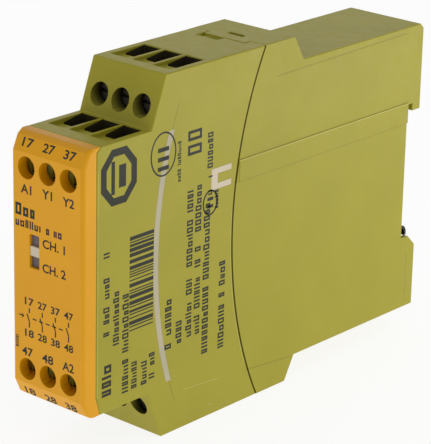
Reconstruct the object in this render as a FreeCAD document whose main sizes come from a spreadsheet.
import FreeCAD, Part
import math
import os
import Sketcher

# Slim safety relay for a 35 mm mounting rail.
# Every sub-part is drawn in the module's own frame: X runs across the width from the middle,
# Y runs back from the front of the cover, Z runs up from mid-height.  Its Placement then puts
# it in the part's frame, whose origin is the middle of the base: X = 0 at mid-width, Y = 0 at
# mid-depth and Z = 0 at the underside.  All sizes are in millimetres.

SIZES = [
    # the module as a whole
    ("width", 22.5, "width over the side ribs, one standard module"),
    ("height", 87, "height at the tallest part"),
    ("depth", 121, "depth from the cover's front to the back of the lower jaw"),
    ("wall", 1.3, "wall of both shells"),
    ("past", 1, "how far a cut runs past the surface that it opens"),
    ("rib_rise", 0.2, "height of the side ribs over the side walls"),
    # side profile of the shells
    ("low_half", 31.45, "half the height at the front terminals"),
    ("low_back", 21.2, "where the slanted faces start"),
    ("slant_back", 25.6, "where the slanted faces end"),
    ("notch_front", 70.2, "where the tall part ends"),
    ("notch_back", 73.5, "where the notch reaches the rear height"),
    ("rear_half", 37.5, "half the height of the rear part"),
    ("seam_front", 49, "foremost point of the curved seam"),
    ("seam_radius", 97, "radius of the curved seam"),
    ("seam_gap", 0.25, "gap that shows along the seam"),
    ("lap_length", 2, "overlap of the shells inside the seam"),
    ("lap_wall", 0.6, "wall of the rear shell's lap"),
    ("lap_play", 0.05, "play of the lap in the front shell"),
    # rail foot
    ("recess_back", 115.3, "back wall of the rail recess"),
    ("recess_top", 17.3, "top of the rail recess"),
    ("recess_height", 35.5, "clear height of the recess for a 35 mm rail"),
    ("hook_back", 120.4, "back of the upper hook"),
    ("hook_gap", 1.9, "gap behind the upper hook's lip"),
    ("lip_drop", 1.9, "how far the lip hangs over the rail's edge"),
    ("jaw_chamfer", 3.0, "chamfer on the lower jaw"),
    ("foot_corner", 1.3, "chamfer on the upper rear corner"),
    # terminals
    ("pitch", 6.45, "distance between neighbouring terminals"),
    ("axis_depth", 7.6, "screws' axis, from the mouth of the wire entries"),
    ("setback", 19.9, "distance from the front terminals to the rear ones"),
    ("chamber_front", 9.4, "front of the front wire entries"),
    ("chamber_length", 11.1, "terminal chamber and the frame over it, front to back"),
    ("chamber_width", 5.5, "terminal chamber, side to side"),
    ("chamber_roof", 3.3, "roof of a chamber above its screw's axis"),
    ("chamber_floor", 5, "floor of a chamber below its screw's axis"),
    ("floor_wall", 1.9, "thickness of a chamber's floor"),
    ("chamber_wall", 1.5, "wall behind and in front of a chamber"),
    ("frame_depth", 1.2, "depth of the frame round a wire hole"),
    ("frame_ledge", 4.7, "from the frame's front to the wire hole"),
    ("well_radius", 2.6, "screwdriver hole"),
    ("guide_half", 1.7, "half the side of the square guide behind a screw's head"),
    ("head_radius", 2.4, "screw head"),
    ("head_height", 1.8, "screw head, front to back"),
    ("head_play", 0.1, "play behind the screw head"),
    ("shank_radius", 1.5, "M3 shank, thread left plain"),
    ("shank_play", 0.05, "running play of the shank between the cage's flats"),
    ("shank_length", 7.1, "shank, from the head to its tip"),
    ("drive_width", 0.8, "width of the screw's slot"),
    ("drive_depth", 0.9, "depth of the screw's slot"),
    ("cage_length", 7.6, "cage, front to back"),
    ("cage_width", 5, "cage, side to side"),
    ("cage_height", 6, "cage, top to bottom"),
    ("cage_nut", 1.6, "threaded front wall of the cage"),
    ("cage_back", 1.2, "back wall of the cage"),
    ("cage_side", 0.75, "side wall of the cage"),
    ("cage_play", 0.2, "play behind the open cage"),
    ("bar_width", 2.5, "contact bar, side to side"),
    ("bar_thickness", 1, "contact bar, front to back"),
    ("bar_play", 0.1, "play between a screw's tip and its bar"),
    ("bar_top", 3.4, "end of a bar above its screw's axis"),
    ("bar_slot_play", 0.2, "play of a bar in the chamber floor"),
    ("foot_height", 1, "height of a bar's foot on the board"),
    ("foot_drop", 1, "distance from the chamber floor to the first bar's foot"),
    ("foot_step", 1.8, "step from one bar's foot to the next"),
    # cover
    ("cover_depth", 4.1, "depth of the cover's sides"),
    ("cover_plate", 1.6, "thickness of the cover's face"),
    ("cover_boss", 2.6, "thickness of the cover's face at the screwdriver holes"),
    ("boss_half", 3.6, "half the height of the thicker strip"),
    ("cover_side", 1.2, "thickness of the cover's sides"),
    ("crease_drop", 4.15, "from the cover's edge to the face's creases"),
    ("facet_depth", 1.5, "depth of the sloping facets"),
    ("facet_drop", 0.8, "height from the facets' back edge to the cover's edge"),
    ("edge_depth", 2.6, "where the cover's top and bottom start"),
    ("flare_depth", 5.4, "depth of the cover's top and bottom"),
    ("flare_top", 1.15, "from the cover's upper edge to where its corner starts"),
    ("flare_bottom", 4.45, "from the cover's lower edge to where its corner starts"),
    ("cover_round", 0.9, "rounding of the cover's upright edges"),
    # lamp window
    ("window_centre", -4.05, "middle of the lamp window across the width"),
    ("window_width", 3, "lamp window, side to side"),
    ("window_bottom", 0.9, "lower edge of the lamp window"),
    ("window_height", 7.85, "lamp window, bottom to top"),
    ("window_play", 0.05, "play round the lamps and their holder"),
    ("lamp_height", 2.7, "lamp, bottom to top"),
    ("opening_play", 0.2, "play round the lamps' holder in the front shell"),
    ("lamp_sink", 0.8, "how far the lamps lie behind the face"),
    ("lamp_length", 5.6, "lamp, front to back"),
    ("holder_sink", 0.2, "how far the holder's bar lies behind the face"),
    ("holder_plate", 2, "thickness of the holder's back plate"),
    # pale band, pale bracket and ribs on the sides, catch on the top and bottom
    ("band_front", 22.2, "foremost point of the curved band"),
    ("band_width", 1.8, "width of the curved band"),
    ("band_half", 30.2, "half the height of the curved band"),
    ("band_sink", 0.3, "depth of the curved band"),
    ("rib_bottom", 12.6, "lower edge of the side ribs"),
    ("rib_height", 5.2, "side rib, bottom to top"),
    ("bracket_front", 41.4, "front of the pale bracket ahead of each rib"),
    ("bracket_back", 48.4, "back of the pale bracket"),
    ("bracket_bar", 2.3, "upright of the bracket, front to back"),
    ("bracket_line", 1.5, "arms of the bracket, bottom to top"),
    ("bracket_sink", 0.3, "depth of the bracket"),
    ("catch_width", 12.6, "catch on the top and bottom, side to side"),
    ("catch_reach", 1.8, "how far the catch reaches ahead of the seam"),
    ("catch_play", 0.2, "play round the catch"),
    ("catch_slot_width", 4.6, "slot behind the catch, side to side"),
    ("catch_slot_length", 1.3, "slot behind the catch, front to back"),
    ("catch_slot_back", 3.6, "from the catch's front to its slot"),
    ("thumb_width", 6.6, "notch ahead of the catch, side to side"),
    ("thumb_length", 3, "notch ahead of the catch, front to back"),
    ("thumb_depth", 0.8, "notch ahead of the catch, depth"),
    # rail spring
    ("spring_width", 19.2, "rail spring, side to side"),
    ("spring_sheet", 0.8, "thickness of the spring's strip"),
    ("spring_root", 99, "root of the spring"),
    ("spring_level", -21, "height of the spring's straight run"),
    ("nose_centre", 116.9, "middle of the spring's nose"),
    ("nose_height", -17.8, "height of the nose's middle"),
    ("nose_radius", 2.2, "outer radius of the nose"),
    ("nose_leg", 0.7, "straight end of the nose"),
    ("nose_drop", 3, "room for the nose to go down"),
    ("nose_play", 0.8, "room round the nose in its mouth"),
    ("seat_wall", 2.2, "wall that holds the spring's root"),
    ("seat_reach", 2.4, "ledge over the spring's root"),
    ("seat_play", 0.1, "play of the spring's root in its seat"),
    # board and what it carries
    ("board_thickness", 1.6, "circuit board"),
    ("board_offset", 9.4, "outer face of the board from mid-width"),
    ("board_front", 6.4, "front edge of the board"),
    ("board_back", 92, "back edge of the board"),
    ("board_play", 0.5, "play of the board under the chamber floors"),
    ("relay_front", 43.5, "front of the first relay"),
    ("relay_depth", 16.5, "relay, front to back"),
    ("relay_height", 55, "relay, bottom to top"),
    ("relay_rise", 16, "relay, height off the board"),
    ("relay_gap", 1.5, "gap between the relays"),
    ("relay_edge", 0.8, "chamfer on a relay's case"),
    ("capacitor_radius", 5, "electrolytic capacitor"),
    ("capacitor_rise", 16, "electrolytic capacitor, height off the board"),
    ("capacitor_gap", 2, "gap behind the second relay"),
    ("capacitor_height", 12, "height of the first capacitor over mid-height"),
    ("rectifier_side", 6.4, "rectifier, side of its square body"),
    ("rectifier_rise", 2.5, "rectifier, height off the board"),
    ("rectifier_height", -4, "lower edge of the rectifier"),
    ("fuse_length", 7.3, "fuse, front to back"),
    ("fuse_side", 3.2, "fuse, height and rise"),
    ("fuse_height", 8, "lower edge of the fuse"),
    ("supply_front", 26, "front of the rectifier and the fuse"),
]

ROWS = [
    # marks from left to right, whether the row is set back, and +1 for the top or -1 for the bottom
    (("a1", "y1", "y2"), False, 1),
    (("17", "27", "37"), True, 1),
    (("47", "48", "a2"), False, -1),
    (("18", "28", "38"), True, -1),
]


# Two places closer than this are the same place.
TOUCH = 0.01


class Size:
    """A number together with the formula of the sheet's cells that gives it."""

    def __init__(self, number, text):
        self.number = float(number)
        self.text = text

    def __add__(self, other):
        other = as_size(other)
        return Size(self.number + other.number, "(%s + %s)" % (self.text, other.text))

    def __sub__(self, other):
        other = as_size(other)
        return Size(self.number - other.number, "(%s - %s)" % (self.text, other.text))

    def __mul__(self, other):
        other = as_size(other)
        return Size(self.number * other.number, "(%s * %s)" % (self.text, other.text))

    def __truediv__(self, other):
        other = as_size(other)
        return Size(self.number / other.number, "(%s / %s)" % (self.text, other.text))

    def __neg__(self):
        return Size(-self.number, "(0 - %s)" % self.text)

    __radd__ = __add__
    __rmul__ = __mul__

    def __rsub__(self, other):
        return as_size(other) - self


def as_size(item):
    """A plain number as a Size, and a Size as it is."""
    if isinstance(item, Size):
        return item
    return Size(item, repr(float(item)))


def root(item):
    """Square root."""
    return Size(math.sqrt(item.number), "sqrt(%s)" % item.text)


class Sheet:
    """The spreadsheet's cells, read by their aliases."""

    def __init__(self, doc, rows):
        self.cells = doc.addObject("Spreadsheet::Sheet", "Sizes")
        for line, (alias, number, meaning) in enumerate(rows, start=1):
            self.cells.set("A%d" % line, meaning)
            self.cells.set("B%d" % line, str(number))
            self.cells.setAlias("B%d" % line, alias)
            setattr(self, alias, Size(number, "Sizes." + alias))
        doc.recompute()


doc = FreeCAD.newDocument("SafetyRelay")
S = Sheet(doc, SIZES)

# Values that several sub-parts share, each a formula of the sheet's cells.
high_half = S.height / 2
low_axis = S.low_half - S.axis_depth
high_axis = high_half - S.axis_depth
crease = S.low_half - S.crease_drop
corner_top = S.low_half - S.flare_top
corner_bottom = S.low_half - S.flare_bottom
side = S.width / 2 - S.rib_rise
inner_side = side - S.wall
lap_side = inner_side + S.lap_wall
inner_half = high_half - S.wall
lap_half = inner_half + S.lap_wall
recess_bottom = S.recess_top - S.recess_height
board_face = S.board_thickness - S.board_offset

# ---------------------------------------------------------------- drawing tools


def plane(body, role):
    """One of a body's own origin planes."""
    return [item for item in body.Origin.OriginFeatures if item.Role == role][0]


def new_body(label):
    """An empty body with its own label."""
    body = doc.addObject("PartDesign::Body", label)
    body.Label = label
    return body


def new_sketch(body, role, name, offset=None):
    """A sketch on one of the body's planes, moved along that plane's normal."""
    sketch = body.newObject("Sketcher::SketchObject", name)
    sketch.AttachmentSupport = [(plane(body, role), "")]
    sketch.MapMode = "FlatFace"
    if offset is not None:
        sketch.AttachmentOffset = FreeCAD.Placement(
            FreeCAD.Vector(0, 0, offset.number), FreeCAD.Rotation()
        )
        sketch.setExpression("AttachmentOffset.Base.z", offset.text)
    return sketch


def pin(sketch, kind, edge, end, size):
    """Holds one end of an edge at a distance from the sketch's origin."""
    number = sketch.addConstraint(Sketcher.Constraint(kind, -1, 1, edge, end, size.number))
    sketch.setExpression("Constraints[%d]" % number, size.text)


def outline(sketch, points, bulges=None):
    """A closed outline through the points.

    bulges gives, for the edge that leaves a point, the radius of an arc in place of a line.
    A positive radius turns anticlockwise and a negative one clockwise.
    """
    bulges = bulges or {}
    points = [(as_size(u), as_size(v)) for u, v in points]
    count = len(points)
    first = sketch.GeometryCount
    ends = {}
    for index in range(count):
        here = FreeCAD.Vector(points[index][0].number, points[index][1].number, 0)
        there = points[(index + 1) % count]
        there = FreeCAD.Vector(there[0].number, there[1].number, 0)
        if index not in bulges:
            sketch.addGeometry(Part.LineSegment(here, there), False)
            ends[index] = (1, 2)
            continue
        radius = abs(bulges[index].number)
        turns_left = bulges[index].number > 0
        start, finish = (here, there) if turns_left else (there, here)
        chord = finish - start
        away = FreeCAD.Vector(-chord.y, chord.x, 0).normalize()
        centre = (start + finish) / 2 + away * math.sqrt(radius**2 - chord.Length**2 / 4)
        angles = [math.atan2(p.y - centre.y, p.x - centre.x) for p in (start, finish)]
        ring = Part.Circle(centre, FreeCAD.Vector(0, 0, 1), radius)
        sketch.addGeometry(Part.ArcOfCircle(ring, angles[0], angles[1]), False)
        ends[index] = (1, 2) if turns_left else (2, 1)
    for index in range(count):
        following = (index + 1) % count
        sketch.addConstraint(
            Sketcher.Constraint(
                "Coincident", first + index, ends[index][1], first + following, ends[following][0]
            )
        )
    for index, (u, v) in enumerate(points):
        pin(sketch, "DistanceX", first + index, ends[index][0], u)
        pin(sketch, "DistanceY", first + index, ends[index][0], v)
    for index, radius in bulges.items():
        size = radius if radius.number > 0 else -radius
        number = sketch.addConstraint(Sketcher.Constraint("Radius", first + index, size.number))
        sketch.setExpression("Constraints[%d]" % number, size.text)


def octagon(sketch, u, v, across_flats):
    """An octagon round a point, given across its flats."""
    half = across_flats / 2
    short = half * (math.sqrt(2) - 1)
    turns = [(1, 0), (0, 1), (-1, 0), (0, -1)]
    points = []
    for out, up in turns:
        points.append((u + half * out + short * up, v + half * up - short * out))
        points.append((u + half * out - short * up, v + half * up + short * out))
    outline(sketch, points)


def rectangle(sketch, left, right, low, high):
    """A rectangle between two places each way."""
    outline(sketch, [(left, low), (right, low), (right, high), (left, high)])


def circle(sketch, u, v, radius):
    """A circle round a point."""
    u, v = as_size(u), as_size(v)
    centre = FreeCAD.Vector(u.number, v.number, 0)
    index = sketch.addGeometry(
        Part.Circle(centre, FreeCAD.Vector(0, 0, 1), radius.number), False
    )
    pin(sketch, "DistanceX", index, 3, u)
    pin(sketch, "DistanceY", index, 3, v)
    number = sketch.addConstraint(Sketcher.Constraint("Radius", index, radius.number))
    sketch.setExpression("Constraints[%d]" % number, radius.text)


def grow(body, kind, sketch, length, name, both=False, reverse=False):
    """A pad or a pocket of a sketch, to one side of it or to both."""
    feature = body.newObject("PartDesign::" + kind, name)
    feature.Profile = sketch
    feature.SideType = "Symmetric" if both else "One side"
    feature.Reversed = reverse
    feature.setExpression("Length", length.text)
    feature.Length = length.number
    sketch.Visibility = False
    return feature


def mirror(body, features, role, name):
    """The features again on the other side of a plane."""
    feature = body.newObject("PartDesign::Mirrored", name)
    feature.Originals = features
    feature.MirrorPlane = (plane(body, role), [""])
    body.Tip = feature
    return feature


def place(item, x=0, y=0, z=0):
    """Puts a sub-part at a point of the module's frame."""
    across, back, up = as_size(x), as_size(y), as_size(z)
    back = back - S.depth / 2
    up = up + high_half
    item.Placement = FreeCAD.Placement(
        FreeCAD.Vector(across.number, back.number, up.number), FreeCAD.Rotation()
    )
    item.setExpression("Placement.Base.x", across.text)
    item.setExpression("Placement.Base.y", back.text)
    item.setExpression("Placement.Base.z", up.text)
    return item


def on_arc(front, height):
    """How far back an arc with the seam's radius lies at a height."""
    return front + S.seam_radius - root(S.seam_radius * S.seam_radius - height * height)


# ---------------------------------------------------------------- terminals


def row_axis(set_back):
    """Height of a row's screws over mid-height."""
    return high_axis if set_back else low_axis


def row_front(set_back):
    """Front of a row's wire entries."""
    return S.chamber_front + S.setback if set_back else S.chamber_front


def column(index):
    """Place of a terminal across the width."""
    return S.pitch * (index - 1)


# distances back from the front of a wire entry
shoulder = -S.chamber_wall
head_back = shoulder - S.head_play
head_front = head_back - S.head_height
tip = head_back + S.shank_length
bar_front = tip + S.bar_play
cage_end = S.chamber_length - S.cage_play
cage_start = cage_end - S.cage_length


def make_screw(mark):
    """A clamping screw, turned about its own axis, with a slotted head."""
    body = new_body("screw_" + mark)
    profile = new_sketch(body, "YZ_Plane", "ScrewProfile")
    outline(
        profile,
        [
            (head_front, 0),
            (head_front, S.head_radius),
            (head_back, S.head_radius),
            (head_back, S.shank_radius),
            (tip, S.shank_radius),
            (tip, 0),
        ],
    )
    turned = body.newObject("PartDesign::Revolution", "ScrewTurned")
    turned.Profile = profile
    turned.ReferenceAxis = (profile, ["H_Axis"])
    turned.Angle = 360
    drive = new_sketch(body, "XZ_Plane", "ScrewSlot", -(head_front + S.drive_depth))
    half = S.drive_width / 2
    rectangle(drive, -S.head_radius - half, S.head_radius + half, -half, half)
    grow(body, "Pocket", drive, S.drive_depth + half, "ScrewSlotCut", reverse=True)
    return body


def make_cage(mark):
    """A rising cage, open above and below for the wire.

    The tapped hole in its front wall is drawn as eight flats that just clear the shank.
    """
    body = new_body("cage_" + mark)
    outer = new_sketch(body, "XY_Plane", "CageOutline")
    rectangle(outer, -S.cage_width / 2, S.cage_width / 2, cage_start, cage_end)
    grow(body, "Pad", outer, S.cage_height, "CageBlock", both=True)
    inner = new_sketch(body, "XY_Plane", "CageOpening")
    half = S.cage_width / 2 - S.cage_side
    rectangle(inner, -half, half, cage_start + S.cage_nut, cage_end - S.cage_back)
    grow(body, "Pocket", inner, S.cage_height * 2, "CageOpeningCut", both=True)
    thread = new_sketch(body, "XZ_Plane", "CageThread", -(cage_start - S.past))
    octagon(thread, 0, 0, (S.shank_radius + S.shank_play) * 2)
    grow(body, "Pocket", thread, S.cage_nut + S.past * 2, "CageThreadCut")
    return body


def make_bar(mark, index, set_back, upward):
    """A contact bar: a tongue through the cage and a foot that runs across to the board."""
    body = new_body("bar_" + mark)
    half = S.bar_width / 2
    foot_top = -(S.chamber_floor + S.floor_wall + S.foot_drop + S.foot_step * index)
    foot_low = foot_top - S.foot_height
    face = board_face - column(index)
    profile = new_sketch(body, "XZ_Plane", "BarProfile", -bar_front)
    outline(
        profile,
        [
            (-half, S.bar_top * upward),
            (-half, foot_top * upward),
            (face, foot_top * upward),
            (face, foot_low * upward),
            (half, foot_low * upward),
            (half, S.bar_top * upward),
        ],
    )
    grow(body, "Pad", profile, S.bar_thickness, "BarStrip", reverse=True)
    return body


def make_terminals():
    """Screws, cages and bars of all four rows."""
    items = []
    for marks, set_back, upward in ROWS:
        for index, mark in enumerate(marks):
            across = column(index)
            back = row_front(set_back)
            up = row_axis(set_back) * upward
            items.append(place(make_screw(mark), across, back, up))
            items.append(place(make_cage(mark), across, back, up))
            items.append(place(make_bar(mark, index, set_back, upward), across, back, up))
    return items


# ---------------------------------------------------------------- shells


def chamber_cuts(body, set_back):
    """Chambers, framed wire holes, screwdriver wells and bar slots of an upper row.

    The front row's wells lie behind the cover, whose round holes guide the screwdriver, so they
    are square; the rear row's are round.
    """
    front = row_front(set_back)
    axis = row_axis(set_back)
    mouth = high_half if set_back else S.low_half
    tag = "Rear" if set_back else "Front"
    half = S.chamber_width / 2
    frames = new_sketch(body, "XY_Plane", tag + "Frames", mouth + S.past)
    entries = new_sketch(body, "XY_Plane", tag + "Entries", mouth)
    chambers = new_sketch(body, "XY_Plane", tag + "Chambers", axis + S.chamber_roof)
    wells = new_sketch(body, "XZ_Plane", tag + "Wells")
    guides = new_sketch(body, "XZ_Plane", tag + "Guides")
    hole = S.well_radius
    guide = S.guide_half
    slots = new_sketch(body, "XY_Plane", tag + "BarSlots", axis - S.chamber_floor + S.past)
    bar_half = S.bar_width / 2 + S.bar_slot_play
    bar_start = front + bar_front - S.bar_slot_play
    bar_end = front + bar_front + S.bar_thickness + S.bar_slot_play
    for index in range(3):
        across = column(index)
        left, right = across - half, across + half
        back = front + S.chamber_length
        rectangle(frames, left, right, front, back)
        rectangle(entries, left, right, front + S.frame_ledge, back)
        rectangle(chambers, left, right, front, back)
        if set_back:
            circle(wells, across, axis, hole)
        else:
            rectangle(wells, across - hole, across + hole, axis - hole, axis + hole)
        rectangle(guides, across - guide, across + guide, axis - guide, axis + guide)
        rectangle(slots, across - bar_half, across + bar_half, bar_start, bar_end)
    room = S.chamber_roof + S.chamber_floor
    cuts = [
        grow(body, "Pocket", frames, S.frame_depth + S.past, tag + "FrameCuts"),
        grow(body, "Pocket", entries, mouth - axis, tag + "EntryCuts"),
        grow(body, "Pocket", chambers, room, tag + "ChamberCuts"),
        grow(body, "Pocket", wells, front + shoulder, tag + "WellCuts"),
        grow(body, "Pocket", guides, front + S.chamber_wall, tag + "GuideCuts"),
        grow(body, "Pocket", slots, S.floor_wall + S.past * 2, tag + "BarSlotCuts"),
    ]
    return cuts


def make_front_housing():
    """The front shell with its twelve terminal chambers."""
    body = new_body("front_housing")
    profile = new_sketch(body, "YZ_Plane", "FrontProfile")
    seam_back = on_arc(S.seam_front, high_half)
    outline(
        profile,
        [
            (S.cover_depth, -corner_bottom),
            (S.flare_depth, -S.low_half),
            (S.low_back, -S.low_half),
            (S.slant_back, -high_half),
            (seam_back, -high_half),
            (seam_back, high_half),
            (S.slant_back, high_half),
            (S.low_back, S.low_half),
            (S.flare_depth, S.low_half),
            (S.cover_depth, corner_top),
        ],
        {4: -S.seam_radius},
    )
    grow(body, "Pad", profile, side * 2, "FrontBlock", both=True)

    inside = new_sketch(body, "YZ_Plane", "FrontInside")
    low_inside = low_axis - S.chamber_floor - S.floor_wall
    high_inside = high_axis - S.chamber_floor - S.floor_wall
    first = S.chamber_front + S.chamber_length + S.chamber_wall
    second = first + S.setback
    past_seam = seam_back + S.past
    upper = [
        (S.cover_depth + S.chamber_wall, low_inside),
        (first, low_inside),
        (first, high_inside),
        (second, high_inside),
        (second, inner_half),
        (past_seam, inner_half),
    ]
    lower = [(back, -up) for back, up in reversed(upper)]
    outline(inside, upper + lower)
    grow(body, "Pocket", inside, inner_side * 2, "FrontHollow", both=True)

    lap = new_sketch(body, "YZ_Plane", "FrontLap")
    lap_front = S.seam_front - S.lap_length - S.seam_gap
    room = lap_half + S.lap_play
    lap_back = on_arc(lap_front, room)
    outline(
        lap,
        [(lap_back, -room), (past_seam, -room), (past_seam, room), (lap_back, room)],
        {3: S.seam_radius},
    )
    grow(body, "Pocket", lap, (lap_side + S.lap_play) * 2, "FrontLapCut", both=True)

    window = new_sketch(body, "XZ_Plane", "LampOpening")
    half = S.window_width / 2 + S.opening_play
    low = S.window_bottom - S.opening_play
    high = S.window_bottom + S.window_height + S.opening_play
    rectangle(window, S.window_centre - half, S.window_centre + half, low, high)
    grow(body, "Pocket", window, S.cover_depth + S.chamber_wall + S.past, "LampOpeningCut")

    cuts = chamber_cuts(body, False) + chamber_cuts(body, True)

    notch = new_sketch(body, "XY_Plane", "CatchNotch", high_half + S.past)
    half = S.catch_width / 2 + S.catch_play
    catch_front = seam_back - S.catch_reach - S.catch_play
    rectangle(notch, -half, half, catch_front, past_seam)
    cuts.append(grow(body, "Pocket", notch, S.wall + S.past * 2, "CatchNotchCut"))
    thumb = new_sketch(body, "YZ_Plane", "ThumbNotch", -S.catch_width / 2)
    outline(
        thumb,
        [
            (catch_front - S.thumb_length, high_half + S.past),
            (catch_front - S.thumb_length, high_half),
            (catch_front, high_half - S.thumb_depth),
            (catch_front + S.catch_play, high_half - S.thumb_depth),
            (catch_front + S.catch_play, high_half + S.past),
        ],
    )
    cuts.append(grow(body, "Pocket", thumb, S.thumb_width, "ThumbNotchCut", reverse=True))
    mirror(body, cuts, "XY_Plane", "LowerRows")

    band = new_sketch(body, "YZ_Plane", "SideBand", side - S.band_sink)
    band_end = on_arc(S.band_front, S.band_half)
    outline(
        band,
        [
            (band_end, S.band_half),
            (band_end, -S.band_half),
            (band_end + S.band_width, -S.band_half),
            (band_end + S.band_width, S.band_half),
        ],
        {0: S.seam_radius, 2: -S.seam_radius},
    )
    band_cut = grow(body, "Pocket", band, S.band_sink + S.past, "SideBandCut", reverse=True)
    bracket = new_sketch(body, "YZ_Plane", "Bracket", side - S.bracket_sink)
    rib_top = S.rib_bottom + S.rib_height
    line = S.bracket_line
    upright = S.bracket_front + S.bracket_bar
    outline(
        bracket,
        [
            (S.bracket_front, S.rib_bottom),
            (S.bracket_back, S.rib_bottom),
            (S.bracket_back, S.rib_bottom + line),
            (upright, S.rib_bottom + line),
            (upright, rib_top - line),
            (S.bracket_back, rib_top - line),
            (S.bracket_back, rib_top),
            (S.bracket_front, rib_top),
        ],
    )
    cut_depth = S.bracket_sink + S.past
    bracket_cut = grow(body, "Pocket", bracket, cut_depth, "BracketCut", reverse=True)
    mirror(body, [band_cut, bracket_cut], "YZ_Plane", "OtherSide")
    return place(body)


def make_rear_housing():
    """The rear shell with its lap, rail recess, hook, jaw and spring seat."""
    body = new_body("rear_housing")
    profile = new_sketch(body, "YZ_Plane", "RearProfile")
    seam = S.seam_front + S.seam_gap
    seam_back = on_arc(seam, high_half)
    lip_front = S.recess_back + S.hook_gap
    outline(
        profile,
        [
            (seam_back, high_half),
            (seam_back, -high_half),
            (S.notch_front, -high_half),
            (S.notch_back, -S.rear_half),
            (S.depth, -S.rear_half),
            (S.depth, recess_bottom - S.jaw_chamfer),
            (S.depth - S.jaw_chamfer, recess_bottom),
            (S.recess_back, recess_bottom),
            (S.recess_back, S.recess_top),
            (lip_front, S.recess_top),
            (lip_front, S.recess_top - S.lip_drop),
            (S.hook_back, S.recess_top - S.lip_drop),
            (S.hook_back, S.rear_half - S.foot_corner),
            (S.hook_back - S.foot_corner, S.rear_half),
            (S.notch_back, S.rear_half),
            (S.notch_front, high_half),
        ],
        {0: S.seam_radius},
    )
    grow(body, "Pad", profile, side * 2, "RearBlock", both=True)

    rib = new_sketch(body, "YZ_Plane", "SideRibs")
    rib_top = S.rib_bottom + S.rib_height
    rib_front = on_arc(seam, rib_top) + S.seam_gap
    rectangle(rib, rib_front, S.recess_back, S.rib_bottom, rib_top)
    grow(body, "Pad", rib, S.width, "SideRibPads", both=True)

    lap = new_sketch(body, "YZ_Plane", "RearLap")
    lap_back = on_arc(S.seam_front - S.lap_length, lap_half)
    past_seam = seam_back + S.past
    outline(
        lap,
        [(lap_back, lap_half), (lap_back, -lap_half), (past_seam, -lap_half), (past_seam, lap_half)],
        {0: S.seam_radius},
    )
    grow(body, "Pad", lap, lap_side * 2, "RearLapPad", both=True)

    catch = new_sketch(body, "XY_Plane", "Catch", high_half)
    half = S.catch_width / 2
    front_seam = on_arc(S.seam_front, high_half)
    catch_front = front_seam - S.catch_reach
    rectangle(catch, -half, half, catch_front, seam_back + S.past)
    catch_pad = grow(body, "Pad", catch, S.wall, "CatchPad", reverse=True)
    slot = new_sketch(body, "XY_Plane", "CatchSlot", high_half + S.past)
    slot_front = catch_front + S.catch_slot_back
    rectangle(
        slot,
        -S.catch_slot_width / 2,
        S.catch_slot_width / 2,
        slot_front,
        slot_front + S.catch_slot_length,
    )
    slot_cut = grow(body, "Pocket", slot, S.wall + S.past * 2, "CatchSlotCut")
    mirror(body, [catch_pad, slot_cut], "XY_Plane", "LowerCatch")

    inside = new_sketch(body, "YZ_Plane", "RearInside")
    inner_rear = S.rear_half - S.wall
    slope = S.wall / 2
    jaw_roof = S.spring_level - S.nose_drop
    ahead = S.seam_front - S.lap_length - S.past
    outline(
        inside,
        [
            (ahead, -inner_half),
            (S.notch_front - slope, -inner_half),
            (S.notch_back - slope, -inner_rear),
            (S.depth - S.wall, -inner_rear),
            (S.depth - S.wall, jaw_roof),
            (S.recess_back - S.wall, jaw_roof),
            (S.recess_back - S.wall, S.recess_top + S.wall),
            (S.hook_back - S.wall, S.recess_top + S.wall),
            (S.hook_back - S.wall, inner_rear - slope),
            (S.hook_back - S.wall - slope, inner_rear),
            (S.notch_back - slope, inner_rear),
            (S.notch_front - slope, inner_half),
            (ahead, inner_half),
        ],
    )
    grow(body, "Pocket", inside, inner_side * 2, "RearHollow", both=True)

    mouth = new_sketch(body, "YZ_Plane", "SpringMouth")
    rectangle(
        mouth,
        S.recess_back - S.wall - S.nose_play,
        S.nose_centre + S.nose_radius + S.nose_play,
        jaw_roof - S.nose_play,
        S.nose_height + S.nose_radius + S.nose_play,
    )
    grow(body, "Pocket", mouth, inner_side * 2, "SpringMouthCut", both=True)

    seat = new_sketch(body, "YZ_Plane", "SpringSeat")
    ledge = S.spring_level + S.spring_sheet / 2 + S.seat_play
    seat_back = S.spring_root - S.seat_play
    outline(
        seat,
        [
            (seat_back - S.seat_wall, S.spring_level - S.spring_sheet),
            (seat_back, S.spring_level - S.spring_sheet),
            (seat_back, ledge),
            (seat_back + S.seat_reach, ledge),
            (seat_back + S.seat_reach, ledge + S.wall),
            (seat_back - S.seat_wall, ledge + S.wall),
        ],
    )
    grow(body, "Pad", seat, (inner_side + S.wall / 2) * 2, "SpringSeatPad", both=True)
    return place(body)


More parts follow.
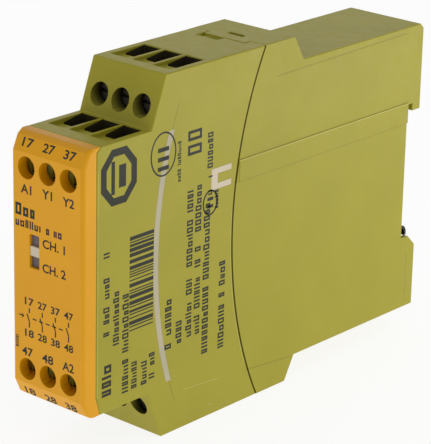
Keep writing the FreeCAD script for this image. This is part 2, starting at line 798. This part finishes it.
def make_front_cover():
    """The snap-on cap with creased facets, six screwdriver holes and the lamp window."""
    body = new_body("front_cover")
    profile = new_sketch(body, "YZ_Plane", "CoverProfile")
    facet = S.low_half - S.facet_drop
    outline(
        profile,
        [
            (0, -crease),
            (S.facet_depth, -facet),
            (S.edge_depth, -S.low_half),
            (S.flare_depth, -S.low_half),
            (S.cover_depth, -corner_bottom),
            (S.cover_depth, corner_top),
            (S.flare_depth, S.low_half),
            (S.edge_depth, S.low_half),
            (S.facet_depth, facet),
            (0, crease),
        ],
    )
    grow(body, "Pad", profile, side * 2, "CoverBlock", both=True)

    hollow = new_sketch(body, "YZ_Plane", "CoverHollow")
    boss_low = low_axis - S.boss_half
    rim = crease - S.cover_side
    back = S.cover_depth + S.past
    outline(
        hollow,
        [
            (S.cover_boss, -rim),
            (back, -rim),
            (back, rim),
            (S.cover_boss, rim),
            (S.cover_boss, boss_low),
            (S.cover_plate, boss_low),
            (S.cover_plate, -boss_low),
            (S.cover_boss, -boss_low),
        ],
    )
    grow(body, "Pocket", hollow, (side - S.cover_side) * 2, "CoverHollowCut", both=True)

    holes = new_sketch(body, "XZ_Plane", "CoverHoles")
    for index in range(3):
        circle(holes, column(index), low_axis, S.well_radius)
    upper = grow(body, "Pocket", holes, S.cover_depth, "CoverHoleCuts")
    mirror(body, [upper], "XY_Plane", "LowerCoverHoles")

    window = new_sketch(body, "XZ_Plane", "CoverWindow")
    half = S.window_width / 2
    rectangle(
        window,
        S.window_centre - half,
        S.window_centre + half,
        S.window_bottom,
        S.window_bottom + S.window_height,
    )
    cut = grow(body, "Pocket", window, S.cover_depth, "CoverWindowCut")
    doc.recompute()

    names = []
    for number, edge in enumerate(cut.Shape.Edges, start=1):
        box = edge.BoundBox
        at_side = abs(abs(box.Center.x) - side.number) < TOUCH and box.XLength < TOUCH
        forward = box.YMax < S.edge_depth.number + TOUCH
        if at_side and forward:
            names.append("Edge%d" % number)
    rounded = body.newObject("PartDesign::Fillet", "CoverEdges")
    rounded.Base = (cut, names)
    rounded.setExpression("Radius", S.cover_round.text)
    return place(body)


# ---------------------------------------------------------------- lamps, board and spring


def make_lamps():
    """Two lamps, and the cream holder whose bar shows between them."""
    half = S.window_width / 2 - S.window_play
    left = S.window_centre - half
    right = S.window_centre + half
    low = S.window_bottom + S.window_play
    high = S.window_bottom + S.window_height - S.window_play
    plate_front = S.lamp_sink + S.lamp_length
    plate_back = plate_front + S.holder_plate
    holder = new_body("led_holder")
    bar = new_sketch(holder, "XY_Plane", "HolderBar", low + S.lamp_height + S.window_play)
    rectangle(bar, left, right, S.holder_sink, plate_back)
    bar_height = high - low - S.lamp_height * 2 - S.window_play * 2
    grow(holder, "Pad", bar, bar_height, "HolderBarPad")
    plate = new_sketch(holder, "XY_Plane", "HolderPlate", low)
    rectangle(plate, board_face, right, plate_front, plate_back)
    grow(holder, "Pad", plate, high - low, "HolderPlatePad")
    items = [place(holder)]
    for label, start in (("led_1", high - S.lamp_height), ("led_2", low)):
        lamp = new_body(label)
        outer = new_sketch(lamp, "XY_Plane", "LampOutline", start)
        rectangle(outer, left, right, S.lamp_sink, plate_front)
        grow(lamp, "Pad", outer, S.lamp_height, "LampBody")
        items.append(place(lamp))
    return items


def make_board():
    """The circuit board, narrower between the front terminals."""
    body = new_body("main_board")
    low = low_axis - S.chamber_floor - S.floor_wall - S.board_play
    high = high_axis - S.chamber_floor - S.floor_wall - S.board_play
    step = S.chamber_front + S.chamber_length + S.chamber_wall + S.board_play
    profile = new_sketch(body, "YZ_Plane", "BoardOutline", -S.board_offset)
    outline(
        profile,
        [
            (S.board_front, -low),
            (step, -low),
            (step, -high),
            (S.board_back, -high),
            (S.board_back, high),
            (step, high),
            (step, low),
            (S.board_front, low),
        ],
    )
    grow(body, "Pad", profile, S.board_thickness, "BoardPlate")
    return place(body)


def make_relay(label, front):
    """A sealed relay: a closed case with chamfered edges, standing on the board."""
    body = new_body(label)
    foot = new_sketch(body, "YZ_Plane", "RelayFoot", board_face)
    rectangle(foot, front, front + S.relay_depth, -S.relay_height / 2, S.relay_height / 2)
    case = grow(body, "Pad", foot, S.relay_rise, "RelayCase")
    doc.recompute()
    top = [
        "Edge%d" % number
        for number, edge in enumerate(case.Shape.Edges, start=1)
        if edge.BoundBox.XMin > (board_face + S.relay_rise).number - TOUCH
    ]
    edges = body.newObject("PartDesign::Chamfer", "RelayEdges")
    edges.Base = (case, top)
    edges.setExpression("Size", S.relay_edge.text)
    return place(body)


def make_capacitor(label, height):
    """An electrolytic capacitor, its axis across the board."""
    body = new_body(label)
    end = new_sketch(body, "YZ_Plane", "CapacitorEnd", board_face)
    relays = S.relay_depth * 2 + S.relay_gap
    back = S.relay_front + relays + S.capacitor_gap + S.capacitor_radius
    circle(end, back, height, S.capacitor_radius)
    grow(body, "Pad", end, S.capacitor_rise, "CapacitorCan")
    return place(body)


def make_block(label, length, height, rise, front, low):
    """A plain component case on the board."""
    block = doc.addObject("Part::Box", label)
    block.Label = label
    for name, size in (("Length", rise), ("Width", length), ("Height", height)):
        block.setExpression(name, size.text)
    return place(block, board_face, front, low)


def make_rail_spring():
    """A bent strip: rooted in its seat, running back and curling over into the nose."""
    body = new_body("rail_spring")
    sheet = S.spring_sheet
    low = S.spring_level - sheet / 2
    near = S.nose_centre - S.nose_radius
    far = S.nose_centre + S.nose_radius
    inner = S.nose_radius - sheet
    profile = new_sketch(body, "YZ_Plane", "SpringProfile")
    outline(
        profile,
        [
            (S.spring_root, low),
            (near + sheet, low),
            (near + sheet, S.nose_height),
            (S.nose_centre, S.nose_height + inner),
            (far - sheet, S.nose_height),
            (far - sheet, S.nose_height - S.nose_leg),
            (far, S.nose_height - S.nose_leg),
            (far, S.nose_height),
            (S.nose_centre, S.nose_height + S.nose_radius),
            (near, S.nose_height),
            (near, low + sheet),
            (S.spring_root, low + sheet),
        ],
        {2: -inner, 3: -inner, 7: S.nose_radius, 8: S.nose_radius},
    )
    grow(body, "Pad", profile, S.spring_width, "SpringStrip", both=True)
    return place(body)


# ---------------------------------------------------------------- the whole part

parts = [make_front_cover(), make_front_housing(), make_rear_housing()]
parts += make_terminals()
parts += make_lamps()
parts.append(make_board())
parts.append(make_relay("relay_1", S.relay_front))
parts.append(make_relay("relay_2", S.relay_front + S.relay_depth + S.relay_gap))
parts.append(make_capacitor("capacitor_1", S.capacitor_height))
parts.append(make_capacitor("capacitor_2", -S.capacitor_height))
parts.append(
    make_block(
        "rectifier",
        S.rectifier_side,
        S.rectifier_side,
        S.rectifier_rise,
        S.supply_front,
        S.rectifier_height,
    )
)
parts.append(
    make_block("fuse", S.fuse_length, S.fuse_side, S.fuse_side, S.supply_front, S.fuse_height)
)
parts.append(make_rail_spring())

doc.recompute()
for item in doc.Objects:
    if "Invalid" in item.State or "Error" in item.State:
        raise RuntimeError("%s could not be rebuilt" % item.Name)
for part in parts:
    if part.Shape.isNull() or not part.Shape.isValid():
        raise RuntimeError("%s has no valid shape" % part.Label)
    if len(part.Shape.Solids) != 1:
        raise RuntimeError("%s has %d solids" % (part.Label, len(part.Shape.Solids)))

os.makedirs("parts", exist_ok=True)
for part in parts:
    part.Shape.exportStep("parts/%s.step" % part.Label)
print("%d sub-parts written" % len(parts))
